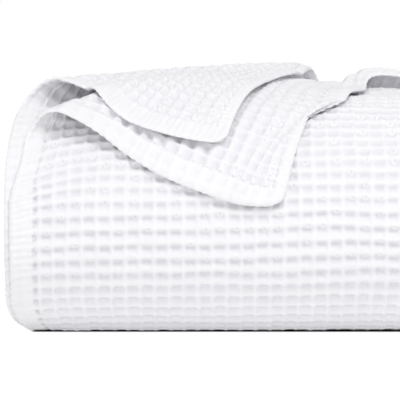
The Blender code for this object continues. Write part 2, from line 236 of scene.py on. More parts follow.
def fromTable(table, at):
    # smooth values of the table's other columns at a place along its first one
    rows = np.array(table, float)
    knots = rows[:, 0]
    low = np.clip(np.searchsorted(knots, at) - 1, 0, len(knots) - 2)
    step = knots[low + 1] - knots[low]
    u = np.clip((at - knots[low]) / step, 0.0, 1.0)
    values = []
    for column in rows[:, 1:].T:
        slope = np.gradient(column, knots)
        values.append(
            (2 * u**3 - 3 * u**2 + 1) * column[low]
            + (u**3 - 2 * u**2 + u) * step * slope[low]
            + (3 * u**2 - 2 * u**3) * column[low + 1]
            + (u**3 - u**2) * step * slope[low + 1]
        )
    return values


def smooth(low, high, at):
    u = np.clip((at - low) / (high - low), 0.0, 1.0)
    return u * u * (3 - 2 * u)


def bumpAt(at, height, middle, width):
    return height * np.exp(-(((at - middle) / width) ** 2))


def fade(at, over):
    return np.exp(-np.maximum(at, 0.0) / over)


def rollProfile(layer, along, away):
    # section across the crease: up and over the roll, down the flap, and flat where it lands
    height, lead, slope = fromTable(layer["rolls"], along)
    slope = np.radians(slope)
    radius = height / 2
    settle = turning["settleRadius"]
    fall = lead + radius * (1 + np.cos(slope)) - settle * (1 - np.cos(slope)) - layer["landing"]
    drop = np.maximum(fall / np.sin(slope), 0.0)
    rolled = radius * (pi + slope)
    turned = np.minimum(np.maximum(away, 0.0), rolled) / radius
    reach = radius * np.sin(turned)
    rise = radius * (1 - np.cos(turned))
    past = away - rolled
    falling = np.clip(past, 0.0, drop)
    reach = reach - falling * np.cos(slope)
    rise = rise - falling * np.sin(slope)
    settling = np.clip(past - drop, 0.0, settle * slope)
    angle = turned - settling / settle
    settles = settling > 0.0
    reach = reach - np.where(settles, settle * (np.sin(angle) + np.sin(slope)), 0.0)
    rise = rise + np.where(settles, settle * (np.cos(angle) + np.cos(slope)), 0.0)
    reach = reach - np.maximum(past - drop - settle * slope, 0.0)
    ahead = away < 0.0
    rise = np.where(ahead, 0.0, rise) + lead * smooth(-turning["riseLength"], 0.0, away)
    return np.where(ahead, away, reach), rise, np.where(ahead, 0.0, angle)


def flapTop(layer, along, reach, clear):
    # height over the crease's cloth that clears the roll and its flap
    height, lead, slope = fromTable(layer["rolls"], along)
    slope = np.radians(slope)
    radius = height / 2
    outer = radius + clear
    overRoll = lead + radius + np.sqrt(np.maximum(outer**2 - reach**2, 0.0))
    leaves = -outer * np.sin(slope)
    overFlap = lead + radius + outer * np.cos(slope) + (reach - leaves) * np.tan(slope)
    top = np.where(reach > leaves, overRoll, np.maximum(overFlap, layer["landing"] + clear))
    return np.where(reach > outer, 0.0, top)


def creaseAxes(layer):
    angle = radians(layer["creaseAngle"])
    return np.array([cos(angle), sin(angle)]), np.array([-sin(angle), cos(angle)])


def creaseCurve(layer, along):
    curve = layer["curve"] * smooth(layer["curveStart"], layer["curveEnd"], along)
    return curve * (1 - smooth(layer["curveEnd"], layer["curveBack"], along))


def fromCrease(layer, x, v, tuck=0.0):
    # place along the straight line of the crease, and away from the curved one
    fore, back = creaseAxes(layer)
    dx = x - layer["hemAt"] - tuck
    dv = v - layer["creaseAt"]
    along = dx * fore[0] + dv * fore[1]
    return along, dx * back[0] + dv * back[1] - creaseCurve(layer, along)


def awayFrom(layer, x, v):
    return fromCrease(layer, x, v)[1]


def restOnTopLayer(x, v, lift, angle, side):
    along, away = fromCrease(topLayer, x, v, topLayer["hemTuck"])
    least = flapTop(topLayer, along, away, pitch + turning["flapGap"]) - side
    turned = np.clip((np.degrees(angle) - turning["turnStart"]) / turning["turnBlend"], 0.0, 1.0)
    gap = lift - least
    lifted = least + 0.5 * (gap + np.sqrt(gap**2 + turning["flapEase"] ** 2))
    return lift + turned * (lifted - lift)


def turnedCorner(layer, x, v, side):
    # place of a point of a turned layer, from where it lies on the cloth before turning
    fore, back = creaseAxes(layer)
    dx = x - layer["hemAt"]
    dv = v - layer["creaseAt"]
    along, away = fromCrease(layer, x, v)
    reach, rise, angle = rollProfile(layer, along, away)
    reach = reach + creaseCurve(layer, along) - np.sin(angle) * side
    rise = rise + np.cos(angle) * side
    whole = layer["cornerLength"] * fore[0]
    down = np.clip((away - turning["slipStart"]) / (whole - turning["slipStart"]), 0.0, 1.0)
    leftFade = fade(dx, turning["leftFade"])
    reach = reach - layer["forwardSlip"] * np.sin(pi * down ** layer["slipBias"]) * leftFade
    dip = layer["leftDip"] * fade(along, turning["dipFade"]) * smooth(-turning["dipLength"], 0.0, away)
    arch = bumpAt(away, layer["leftArch"], turning["archAt"], turning["archWidth"])
    fromEnd = np.maximum(layer["cornerLength"] - dv, 0.0)
    slip = layer["sideSlip"] * np.sin(pi * np.clip(away / whole, 0.0, 1.0) ** layer["sideBias"])
    along = along + arch * leftFade - slip * fade(fromEnd, turning["endFade"])
    low, full = turning["stepLow"] + turning["stepSpread"] * fromEnd, turning["stepFull"]
    step = layer["endStep"] * smooth(low, full, away) * fade(fromEnd, turning["stepFade"])
    step = step * smooth(turning["stepHigh"], full, away)
    tuck = layer["hemTuck"] * smooth(-turning["tuckLength"], 0.0, away)
    shift = tuck * fade(dx, turning["tuckFade"]) + step
    placeX = layer["hemAt"] + along * fore[0] + reach * back[0] + shift
    placeV = layer["creaseAt"] + along * fore[1] + reach * back[1] - dip
    lift = rise - layer["depth"] * pitch
    if layer is not topLayer:
        lift = restOnTopLayer(placeX, placeV, lift, angle, side)
    return wrap(placeX, placeV, lift)


def drawnEnds(points):
    # the ends of the bundle draw in near the floor and near the crown
    x, z = points[..., 0], points[..., 2]
    mostHeight, mostReach = bundle["endDrawMost"]
    drawn = 0.0
    for start, full, amount, power in bundle["endDraw"]:
        drawn = drawn + amount * np.clip((z - start) / (full - start), 0.0, mostHeight) ** power
    shares = [
        np.clip(1 - inward / bundle["endDrawReach"], 0.0, mostReach) ** 2
        for inward in (x, bundle["foldedWidth"] - x)
    ]
    moved = points.copy()
    moved[..., 0] = x + drawn * (shares[0] - shares[1])
    return moved


# The way along the cloth, in stretches of one kind: a front goes by v, a flat by its share of
# the way from the front to the back fold, and a back fold by its share of the turn.

def underTop(loop, depth):
    return loop * slab + np.where(loop % 2 == 0, depth, slab - pitch - depth)


def flatEnds(loop, depth, high):
    # y where a flat leaves the front and where it meets the back fold or hem, and its z
    under = underTop(loop, depth)
    scale = 1.0 - under / halfRise
    bendEnd = (crownY if high else 0.0) - frontY
    front = halfRise + scale * (bendEnd - halfRise)
    z = halfRise + (scale if high else -scale) * halfRise + halfThick
    fold = loop if (loop % 2 == 0) != high else loop - 1
    reach = bundle["loops"][fold][1]
    if not (loop == 3 and high):
        reach = reach - halfThick - slab + pitch / 2
    return front, np.full_like(front, reach), z


def foldPlace(loop, depth, share):
    # the back fold from this loop to the next
    most = slab - pitch / 2
    turn = -pi / 2 + pi * share
    if loop % 2 == 0:
        middleZ = halfThick + (loop + 1) * slab - pitch / 2
        radius = most - depth
    else:
        middleZ = halfThick + clothRise - (loop + 1) * slab + pitch / 2
        radius = depth + pitch / 2
        turn = -turn
    middleY = bundle["loops"][loop][1] - halfThick - most
    return middleY + radius * np.cos(turn), middleZ + radius * np.sin(turn)


def placeFolded(stretch, at, x, depth):
    # stretch is (kind, loop); at is a column of places along it, x and depth are rows or grids
    kind, loop = stretch
    at, x, depth = np.broadcast_arrays(at, x, depth)
    shift = bundle["loops"][loop][0]
    if kind == "front":
        return wrap(x + shift, at, -underTop(loop, depth))
    if kind == "fold":
        nextShift = bundle["loops"][loop + 1][0]
        y, z = foldPlace(loop, depth, at)
        return np.stack([x + shift + (nextShift - shift) * at, y, z], -1)
    front, back, z = flatEnds(loop, depth, kind == "high")
    return np.stack([x + shift, front + (back - front) * at, z], -1)


# kind, loop, start, end
wayAlong = []
for loop in range(len(bundle["loops"])):
    flat = "high" if loop % 2 else "low"
    ends = (0.0, frontLength) if loop % 2 else (frontLength if loop else bundle["endHem"], 0.0)
    wayAlong += [("front", loop, *ends), (flat, loop, 0.0, 1.0)]
    if loop < 3:
        wayAlong += [("fold", loop, 0.0, 1.0), (flat, loop + 1, 1.0, 0.0)]

weave = {
    "cellAcross": 8.59,
    "cellAlong": 8.5,
    "pitAcross": -0.28,  # x of a column of pits
    "pitAlong": 35.4,  # v of a row of pits
    # ridges, as shares of the way from their middle to the middle of a pit
    "upRidge": (0.0, 0.55),
    "alongRidge": (0.0, 0.8),
    "lean": 1.9,  # pits are deepest under the ridge above them
    "pitDepth": 2.3,
    "crossing": 0.3,  # crossings stand up this much more
    "pitFloor": -1.12,  # from the middle of the cloth
    "waver": 0.09,  # cells
    "unevenness": 0.2,
    # the wavering changes over this many cells across and along
    "acrossWaver": (2.3, 3.1),
    "alongWaver": (3.7, 2.1),
    "fineWaver": 0.6,
    "rowSag": 4.5,  # rows run down to the left hem this much
    "rowSagWidth": 28.0,
    "rowDrift": 2.0,  # and lie this much lower over the left half
    "rowDriftOver": (0.7, 1.1),  # shares of half the width
}
hem = {
    "width": 15.0,  # at the sides
    "endWidth": 9.0,
    "step": 1.6,  # width of the slope down to the weave
    "through": 0.2,  # how much of the weave shows through on the back
    "cornerRound": 9.0,
    "edgeRound": 2.4,
    "swell": 0.8,  # half thickness on the right side of the cloth
    "turnedSwell": 1.45,  # and on its back, where the turning lies
    "roll": (0.35, 2.6, 1.6),  # height, place and width of the roll along the very edge
    "ribs": 0.4,
    "ribUnevenness": 0.5,
    "groove": (0.4, 0.4, 0.9),  # depth, place and width of the groove it is sewn in
    "scallop": 0.25,
    "wander": 0.8,
    "wanderEvery": 4.3,  # cells
    "wanderRow": 3.2,  # where in the seeded table it is read
    "endShift": 7.3,  # and this much further on for the end hems
    "scallopFade": 9.0,  # how far in it reaches
}
ribTurn = 4 * pi  # two ribs of the hem to a cell
openCloth = 50.0  # for the distance to a hem that is nowhere near
waverSize = 64
cellAcross, cellAlong = weave["cellAcross"], weave["cellAlong"]
rng = np.random.default_rng(7)
waverTable = rng.uniform(-1.0, 1.0, (6, waverSize, waverSize))


def waverAt(number, a, b):
    # soft seeded unevenness between -1 and 1, one value every few cells
    table = waverTable[number]
    i, j = np.floor(a).astype(int), np.floor(b).astype(int)
    fa, fb = a - i, b - j
    fa, fb = smooth(0.0, 1.0, fa), smooth(0.0, 1.0, fb)
    corner = lambda di, dj: table[(i + di) % waverSize, (j + dj) % waverSize]
    near = corner(0, 0) * (1 - fa) + corner(1, 0) * fa
    far = corner(0, 1) * (1 - fa) + corner(1, 1) * fa
    return near * (1 - fb) + far * fb


def cellPhase(x, v):
    # cells across and along, whole numbers at the middles of pits
    half = bundle["foldedWidth"] / 2
    driftStart, driftEnd = (share * half for share in weave["rowDriftOver"])
    wandered = -weave["rowSag"] * fade(x, weave["rowSagWidth"])
    wandered = wandered - weave["rowDrift"] * (1 - smooth(driftStart, driftEnd, x))
    a = (x - weave["pitAcross"]) / cellAcross
    b = (v - weave["pitAlong"] - wandered) / cellAlong
    wavered = []
    for number, (everyA, everyB) in enumerate((weave["acrossWaver"], weave["alongWaver"])):
        broad = waverAt(2 * number, a / everyA, b / everyB)
        wavered.append(weave["waver"] * (broad + weave["fineWaver"] * waverAt(2 * number + 1, a, b)))
    return a + wavered[0], b + wavered[1]


def waffle(a, b):
    # 0 in the flat-bottomed pits and 1 on the ridges, a little more where they cross
    offA = 1 - 2 * np.abs(a - np.round(a))
    offB = 1 - np.abs(2 * (b + 0.5 - np.floor(b + 0.5)) ** weave["lean"] - 1)
    ridgeA = 1 - smooth(*weave["upRidge"], offA)
    ridgeB = 1 - smooth(*weave["alongRidge"], offB)
    height = 1 - (1 - ridgeA) * (1 - ridgeB)
    return height + weave["crossing"] / weave["pitDepth"] * ridgeA * ridgeB


def hemShares(fromSide, fromEnd, back):
    # how far the turning of each hem hides the weave
    hidden = 1 - hem["through"] * back
    return [
        (1 - smooth(width - hem["step"], width, away)) * hidden
        for width, away in ((hem["width"], fromSide), (hem["endWidth"], fromEnd))
    ]


def clothHeight(a, b, fromSide, fromEnd, back=False):
    # how far a face of the cloth stands out from its middle
    if back:
        a, b = a + 0.5, b + 0.5
    depth = weave["pitDepth"] * (1 + weave["unevenness"] * waverAt(4, a, b))
    cells = weave["pitFloor"] + depth * waffle(a, b)
    swell = hem["turnedSwell"] if back else hem["swell"]
    ribs = hem["ribs"] * (1 + hem["ribUnevenness"] * waverAt(5, a * 2, b * 2))
    inSide, inEnd = hemShares(fromSide, fromEnd, back)
    near = np.minimum(fromSide, fromEnd)
    roll = bumpAt(near, *hem["roll"])
    height = cells + inEnd * (swell + ribs * np.cos(ribTurn * a) + roll - cells)
    height = height + inSide * (swell + ribs * np.cos(ribTurn * b) + roll - height)
    sewn = np.minimum(fromSide - hem["width"], fromEnd - hem["endWidth"])
    edge = np.clip(near / hem["edgeRound"], 0.0, 1.0)
    return (height - bumpAt(sewn, *hem["groove"])) * np.sqrt(np.maximum(edge * (2 - edge), 0.0))


def scallop(b, inFromEdge):
    # the hem's edge is a little wavy
    wander = hem["wander"] * waverAt(5, b / hem["wanderEvery"], b * 0 + hem["wanderRow"])
    return fade(inFromEdge, hem["scallopFade"]) * (hem["scallop"] * np.cos(ribTurn * b) + wander)


def stepped(start, end, step, hemmed=False):
    # even places from start to end, or in rising order with extra ones if a hem is at the start
    count = max(int(round(abs(end - start) / step)), 1)
    even = np.linspace(start, end, count + 1)
    if not hemmed:
        return even
    extra = [start + (near if end > start else -near) for near in detail["hemSteps"]]
    return np.unique(np.concatenate([even, extra]))


def listed(*parts):
    # grids of the same size as the columns of one list
    return np.stack(np.broadcast_arrays(*parts), -1).reshape(-1, len(parts))


def objectWith(name, data):
    made = bpy.data.objects.new(name, data)
    bpy.context.scene.collection.objects.link(made)
    return made


def cornersOf(grid):
    return np.stack([grid[:-1, :-1], grid[:-1, 1:], grid[1:, 1:], grid[1:, :-1]], -1)


class Skin:
    # grids of one piece's surface, joined into one mesh
    def __init__(self, name):
        self.name = name
        self.points, self.cells, self.maps, self.faces = [], [], [], []
        self.count = 0
        self.flatArea = 0.0

    def add(self, points, a, b, across, along, back=False, keep=None, flip=False, plain=0.0):
        # cells on the back lie half a cell on
        rows, columns = points.shape[:2]
        index = np.arange(rows * columns).reshape(rows, columns) + self.count
        across, along = np.broadcast_arrays(across, along)
        sizes = np.abs(np.diff(across, axis=1)[:-1] * np.diff(along, axis=0)[:, :-1])
        kept = cornersOf(np.ones(index.shape, bool) if keep is None else keep).all(-1)
        quads = cornersOf(index)[kept]
        self.flatArea += float(sizes[kept].sum())
        self.faces.append(quads[:, ::-1] if flip else quads)
        self.points.append(points.reshape(-1, 3))
        self.cells.append(listed(a + 0.5 * back, b + 0.5 * back, plain + 0 * across))
        self.maps.append(listed(across - across.min(), along - along.min()))
        self.count += rows * columns

    def make(self, material):
        # each grid gets its own band of the map, a margin apart
        margin = 2.0
        tall = sum(m[:, 1].max() + 2 * margin for m in self.maps)
        wide = max(m[:, 0].max() for m in self.maps) + 2 * margin
        base = margin
        maps = []
        for m in self.maps:
            maps.append((m + [margin, base]) / [wide, tall])
            base += m[:, 1].max() + 2 * margin
        points, cells, maps, faces = map(np.concatenate, (self.points, self.cells, maps, self.faces))
        used = np.zeros(len(points), bool)
        used[faces.ravel()] = True
        renumber = np.cumsum(used) - 1
        points, cells, maps, faces = points[used], cells[used], maps[used], renumber[faces]
        points[:, 2] = np.maximum(points[:, 2], 0.0)
        points = (drawnEnds(points) - np.array(bundle["middle"])) * 0.001
        mesh = bpy.data.meshes.new(self.name)
        mesh.vertices.add(len(points))
        mesh.vertices.foreach_set("co", points.astype(np.float32).ravel())
        mesh.loops.add(faces.size)
        mesh.loops.foreach_set("vertex_index", faces.astype(np.int32).ravel())
        mesh.polygons.add(len(faces))
        mesh.polygons.foreach_set("loop_start", np.arange(0, faces.size, 4, dtype=np.int32))
        mesh.update(calc_edges=True)
        mesh.validate()
        layer = mesh.uv_layers.new(name="OFBake")
        layer.uv.foreach_set("vector", maps[faces.ravel()].astype(np.float32).ravel())
        marks = mesh.attributes.new("weave", "FLOAT_VECTOR", "POINT")
        marks.data.foreach_set("vector", cells.astype(np.float32).ravel())
        mesh.shade_smooth()
        mesh.materials.append(material)
        return objectWith(self.name, mesh)


# materials

def newMaterial(name):
    material = bpy.data.materials.new(name)
    material.use_nodes = True
    return material, material.node_tree, material.node_tree.nodes["Principled BSDF"]


def feed(tree, sockets, values):
    for socket, value in zip(sockets, values):
        if isinstance(value, bpy.types.NodeSocket):
            tree.links.new(value, socket)
        else:
            socket.default_value = value


def nodeIn(tree, kind, values=(), **settings):
    # a node with its first sockets set or linked
    node = tree.nodes.new(kind)
    for key, setting in settings.items():
        setattr(node, key, setting)
    feed(tree, node.inputs, values)
    return node


def calculate(tree, operation, *values, clamp=False):
    return nodeIn(tree, "ShaderNodeMath", values, operation=operation, use_clamp=clamp).outputs[0]


def vectorIn(tree, operation, *values):
    return nodeIn(tree, "ShaderNodeVectorMath", values, operation=operation)


def noiseIn(tree, at, scale, detail):
    node = nodeIn(tree, "ShaderNodeTexNoise", (at,), noise_dimensions="3D")
    node.inputs["Scale"].default_value = scale
    node.inputs["Detail"].default_value = detail
    return node.outputs["Fac"]


def blend(tree, share, first, second):
    # a colour between two others
    node = nodeIn(tree, "ShaderNodeMix", (share,), data_type="RGBA")
    feed(tree, node.inputs[6:8], (first, second))
    return node.outputs[2]


# sizes in cells of the weave
yarn = {
    # how much of each noise there is, and its scale and detail
    "wobble": 0.16,
    "wobbleNoise": (1.7, 2.0),
    "threadSharpness": 0.6,
    "turnover": 2.5,  # how sharply threads change from one way to the other
    "fuzz": 0.5,
    "fuzzNoise": (22.0, 3.0),
    # a loop stands about this place in its cell, moved by chance up to the spread
    "loopShift": (0.5, 0.05, 0.0),
    "loopPlace": (0.35, 0.42, 0.0),
    "loopSpread": (0.3, 0.15, 0.0),
    "loopRadius": 0.16,
    "loopFall": 9.0,
    "hollowFall": 12.0,
    "loopless": 0.6,  # share of cells without one
    "loopHeight": 2.2,
    # how much a loop standing over a pit takes off the pit's painted shade
    "loopShadeCut": 0.9,
    "hemPlain": 0.85,  # how much of the loops and of the pits' painted shade a hem hides
    "mottleNoise": (0.35, 3.0),
}


def yarnGroup():
    # height of the yarns: threads along each ridge, with fine fuzz; also the painted shade of the pits and
    # a random mottle
    group = bpy.data.node_groups.new("waffleYarns", "ShaderNodeTree")
    # the cells are places across and along, and 1 in a hem
    group.interface.new_socket("Cells", in_out="INPUT", socket_type="NodeSocketVector")
    group.interface.new_socket("Threads", in_out="INPUT", socket_type="NodeSocketFloat")
    for name in ("Height", "PitShade", "Mottle"):
        group.interface.new_socket(name, in_out="OUTPUT", socket_type="NodeSocketFloat")
    start = group.nodes.new("NodeGroupInput")
    end = group.nodes.new("NodeGroupOutput")
    link = group.links.new
    compute = partial(calculate, group)
    places = start.outputs["Cells"]
    parts = nodeIn(group, "ShaderNodeSeparateXYZ", (places,))
    wobble = noiseIn(group, places, *yarn["wobbleNoise"])
    offRidge, lines = [], []
    for axis, power in enumerate((1.0, weave["lean"])):
        # 0 on the ridge lines and 1 where the pits are deepest
        share = compute("FRACT", compute("ADD", parts.outputs[axis], 0.5))
        wave = compute("PINGPONG", compute("POWER", share, power), 0.5)
        offRidge.append(compute("MULTIPLY", wave, 2.0))
        bent = compute("MULTIPLY_ADD", wobble, yarn["wobble"], parts.outputs[axis])
        turns = compute("MULTIPLY", bent, start.outputs["Threads"])
        wave = compute("MULTIPLY", compute("PINGPONG", turns, 0.5), 2.0)
        lines.append(compute("POWER", wave, yarn["threadSharpness"]))
    # beside a ridge the threads run along it
    nearColumn = compute("SUBTRACT", offRidge[1], offRidge[0])
    column = compute("MULTIPLY_ADD", nearColumn, yarn["turnover"], 0.5, clamp=True)
    mixed = nodeIn(group, "ShaderNodeMix", (column,), data_type="FLOAT")
    feed(group, mixed.inputs[2:4], lines[::-1])
    fuzz = noiseIn(group, places, *yarn["fuzzNoise"])
    height = compute("MULTIPLY_ADD", fuzz, yarn["fuzz"], mixed.outputs[0])
    # a loose loop of yarn above some pits, hollow in its middle
    shifted = vectorIn(group, "ADD", places, yarn["loopShift"]).outputs[0]
    chance = nodeIn(group, "ShaderNodeTexWhiteNoise", noise_dimensions="2D")
    link(vectorIn(group, "FLOOR", shifted).outputs[0], chance.inputs["Vector"])
    middle = vectorIn(group, "MULTIPLY_ADD", chance.outputs["Color"], yarn["loopSpread"], yarn["loopPlace"])
    within = vectorIn(group, "FRACTION", shifted)
    far = vectorIn(group, "DISTANCE", within.outputs[0], middle.outputs[0]).outputs["Value"]
    offLoop = compute("ABSOLUTE", compute("SUBTRACT", far, yarn["loopRadius"]))
    ring = compute("MULTIPLY_ADD", offLoop, -yarn["loopFall"], 1.0, clamp=True)
    hollow = compute("MULTIPLY_ADD", far, -yarn["hollowFall"], 1.0, clamp=True)
    unhemmed = compute("MULTIPLY_ADD", parts.outputs[2], -yarn["hemPlain"], 1.0)
    some = compute("GREATER_THAN", chance.outputs["Value"], yarn["loopless"])
    some = compute("MULTIPLY", some, unhemmed)
    loop = compute("MULTIPLY", compute("SUBTRACT", ring, hollow), some)
    link(compute("MULTIPLY_ADD", loop, yarn["loopHeight"], height), end.inputs["Height"])
    # painted shade: 1 deep in the pits, where the colour is darkened as if in shade, less in hems and under
    # loops
    pit = unhemmed
    for off, (low, high) in zip(offRidge, (weave["upRidge"], weave["alongRidge"])):
        inPit = compute("MULTIPLY_ADD", off, 1 / (high - low), -low / (high - low), clamp=True)
        pit = compute("MULTIPLY", pit, inPit)
    pit = compute("MULTIPLY_ADD", loop, -yarn["loopShadeCut"], pit, clamp=True)
    link(pit, end.inputs["PitShade"])
    link(noiseIn(group, places, *yarn["mottleNoise"]), end.inputs["Mottle"])
    return group


cotton = {
    # the first and third colours are tones of the cloth, mixed at random; the second is painted shade,
    # darker in the pits
    "ridgeColour": (0.930, 0.926, 0.945, 1.0),
    "pitShadeColour": (0.800, 0.797, 0.838, 1.0),
    "shadeColour": (0.905, 0.901, 0.925, 1.0),
    "roughness": 0.9,
    "specular": 0.25,
    "sheen": 0.25,
    "sheenRoughness": 0.6,
    "threadsInCell": 11.0,
    "bump": 0.35,
    "bumpDistance": 0.00022,
}
yarns = yarnGroup()


def cottonMaterial():
    material, tree, shader = newMaterial("cotton")
    shader.inputs["Roughness"].default_value = cotton["roughness"]
    shader.inputs["Specular IOR Level"].default_value = cotton["specular"]
    shader.inputs["Sheen Weight"].default_value = cotton["sheen"]
    shader.inputs["Sheen Roughness"].default_value = cotton["sheenRoughness"]
    marks = nodeIn(tree, "ShaderNodeAttribute", attribute_name="weave")
    group = nodeIn(tree, "ShaderNodeGroup", node_tree=yarns)
    group.inputs["Threads"].default_value = cotton["threadsInCell"]
    tree.links.new(marks.outputs["Vector"], group.inputs["Cells"])
    tint = blend(tree, group.outputs["Mottle"], cotton["ridgeColour"], cotton["shadeColour"])
    # painted shade: the colour darkens in the pits
    pitShaded = blend(tree, group.outputs["PitShade"], tint, cotton["pitShadeColour"])
    tree.links.new(pitShaded, shader.inputs["Base Color"])
    bump = nodeIn(tree, "ShaderNodeBump")
    bump.inputs["Strength"].default_value = cotton["bump"]
    bump.inputs["Distance"].default_value = cotton["bumpDistance"]
    tree.links.new(group.outputs["Height"], bump.inputs["Height"])
    tree.links.new(bump.outputs["Normal"], shader.inputs["Normal"])
    return material


cottonCloth = cottonMaterial()

detail = {
    "fine": 8,  # quads to a cell each way where the weave shows most
    "middling": 6,
    "coarse": 4,
    "hemSteps": (0.3, 0.7, 1.2, 1.8, 2.6),
    "innerColumns": 20,
    "innerStep": 7.0,
    "innerLeastSteps": 8,
}
# where one piece takes over from the next, and how far it runs on under it
overlap = {
    # places up the cloth; the second layer starts lower, because the top one dips at its hem
    "turnedFrom": 150.0,
    "secondFrom": 126.0,
    "thirdFrom": 170.0,
    "secondHem": 54.0,  # its outer side ends this far below the crease
    "crease": 4.0,  # before the crease or rise of the piece's own layer
    "secondCrease": 24.0,  # before the crease of the layer on top of it
    "thirdCrease": 9.0,
    "crown": 8.0,
    "topEnd": 20.0,  # back from the end hem on top
    "secondEnd": 14.0,
    "thirdEnd": 18.0,
    "endDrift": 300.0,  # the end hems of the lower layers draw apart from here
    "sideFold": 6.0,  # past the start of a side fold
    "middleFold": 4.0,
    "sideHem": 14.0,  # in from the side hems
    "endHem": 12.0,  # in from the end hems
    "innerEnd": 13.0,
    "innerSide": 8.0,
    # shares of the way to the back fold where the outer flats begin
    "flat": 0.82,
    "lowest": 0.99,
}
rightX = bundle["foldedWidth"] - bundle["foldMargin"]
leftX = bundle["foldMargin"]
topEnd = topLayer["creaseAt"] + topLayer["cornerLength"]
underEnd = bundle["endHem"]
sideFolds = [
    # side (1 is right), layers before and after, heading of the cloth before it
    (1, 0, 3, 0.0),
    (-1, 3, 4, -pi),
    (1, 4, 5, 0.0),
    (-1, 5, 2, -pi),
    (1, 2, 1, -2 * pi),
]


def foldSection(number, quads, runIn, runOut):
    # one side fold: along its own length, x, depth under the outermost layer, heading
    outward, before, after, heading = sideFolds[number]
    foldX = rightX if outward > 0 else leftX
    radius = abs(after - before) * pitch / 2
    swing = -outward if after > before else outward
    along = stepped(-runIn, pi * radius + runOut, cellAcross / quads)[None, :]
    turned = np.clip(along / radius, 0.0, pi)
    straight = np.minimum(along, 0.0) - np.maximum(along - pi * radius, 0.0)
    angle = heading + swing * turned
    x = foldX + swing * radius * np.sin(angle) + outward * straight
    depth = (before + after) * pitch / 2 + swing * radius * np.cos(angle)
    return along, x, depth, angle


def stretchLength(stretch, start, end, depth):
    at = np.linspace(start, end, 60)[:, None]
    middle = np.array([[bundle["foldedWidth"] / 2]])
    points = placeFolded(stretch, at, middle, np.array([[depth]]))[:, 0, 1:]
    return float(np.linalg.norm(np.diff(points, axis=0), axis=1).sum())


def placesAcross(quads, toHem=False):
    start = topLayer["hemAt"] + overlap["sideHem"] if toHem else leftX + overlap["sideFold"]
    return stepped(start, rightX - overlap["sideFold"], cellAcross / quads)


def sideFoldGrid(skin, number, stretch, at, b, quads, runOn, back=False, fromEnd=openCloth):
    # the cloth round one side fold
    along, x, depth, angle = foldSection(number, quads, runOn, runOn)
    a = along / cellAcross
    height = clothHeight(a, b, openCloth, fromEnd, back) * (-1.0 if back else 1.0)
    points = placeFolded(stretch, at, x - np.sin(angle) * height, depth - np.cos(angle) * height)
    skin.add(points, a, b, along, b * cellAlong, back)


def flatGrid(skin, layer, stretch, at, b, x, back=False, fromEnd=openCloth, keep=None):
    # a flat layer between its folds; the right side of the cloth faces in on layers 1, 3 and 5
    x = x[None, :]
    a = (x - weave["pitAcross"]) / cellAcross
    height = clothHeight(a, b, openCloth, fromEnd, back) * (-1.0 if back else 1.0)
    facing = 1.0 if layer % 2 else -1.0
    points = placeFolded(stretch, at, x, layer * pitch + facing * height)
    skin.add(points, a, b, x, b * cellAlong, back, keep)


# The top layer, right side of the cloth: up the front, and on over the turned corner

def roundedCorner(hemX, end, x, v):
    # draws the square corner of the cloth in to a round one
    size = hem["cornerRound"]
    fromSide = np.clip(1 - (x - hemX) / size, 0.0, 1.0)
    fromEnd = np.clip(1 - (end - v) / size, 0.0, 1.0)
    inX = size * fromSide * (1 - np.sqrt(1 - fromEnd**2 / 2))
    inV = size * fromEnd * (1 - np.sqrt(1 - fromSide**2 / 2))
    return x + inX, v - inV


def turnedGrid(skin, layer, rows, sides, back, keep=None):
    hemX = layer["hemAt"]
    end = topEnd if layer is topLayer else underEnd
    x = hemX + sides[None, :]
    v = rows[:, None]
    a, b = cellPhase(x, v)
    height = clothHeight(a, b, x - hemX, end - v, back)
    # the top layer shows its right side outside and the next one its back
    outward = (layer is topLayer) != back
    placeX, placeV = roundedCorner(hemX, end, x, v)
    placeX = placeX + scallop(b, x - hemX)
    placeV = placeV + scallop(a + hem["endShift"], end - v)
    points = turnedCorner(layer, placeX, placeV, height if outward else -height)
    kept = None if keep is None else keep(x, v)
    plain = np.maximum(*hemShares(x - hemX, end - v, back))
    skin.add(points, a, b, x, v, back, kept, not outward, plain)


fineAcross = cellAcross / detail["fine"]
fineAlong = cellAlong / detail["fine"]
topSides = stepped(0.0, rightX - topLayer["hemAt"], fineAcross, True)
turnedRows = stepped(topEnd, overlap["turnedFrom"], fineAlong, True)


def topRows(skin, rows):
    turnedGrid(skin, topLayer, rows, topSides, False)
    # on round the right fold, where the lower layers' end hem is further back
    along, x, depth, angle = foldSection(0, detail["fine"], 0.0, overlap["sideFold"])
    v = rows[:, None]
    a, b = cellPhase(rightX + along, v)
    further = (underEnd - topEnd) * np.clip(depth / pitch, 0.0, 1.0)
    at = v + smooth(overlap["endDrift"], topEnd, v) * further
    height = clothHeight(a, b, openCloth, topEnd - v)
    points = placeFolded(("front", 0), at, x - np.sin(angle) * height, depth - np.cos(angle) * height)
    skin.add(points, a, b, along, v)


print("front of the top layer")
front = Skin("front_of_the_cloth")
topRows(front, stepped(0.0, overlap["turnedFrom"], fineAlong))
turned = Skin("turned_top_layer")
topRows(turned, turnedRows)


def underRise(x, v):
    # where the top layer stands off the next one, and where it ends
    risen = awayFrom(topLayer, x, v) > -turning["riseLength"] - overlap["crease"]
    return risen & (v > frontLength + overlap["crown"]) | (v > topEnd - overlap["topEnd"])


print("turned corner, back of the cloth")
turnedBack = Skin("turned_top_corner")
turnedGrid(
    turnedBack, topLayer, turnedRows, topSides, True,
    lambda x, v: (awayFrom(topLayer, x, v) > -overlap["crease"]) | underRise(x, v),
)

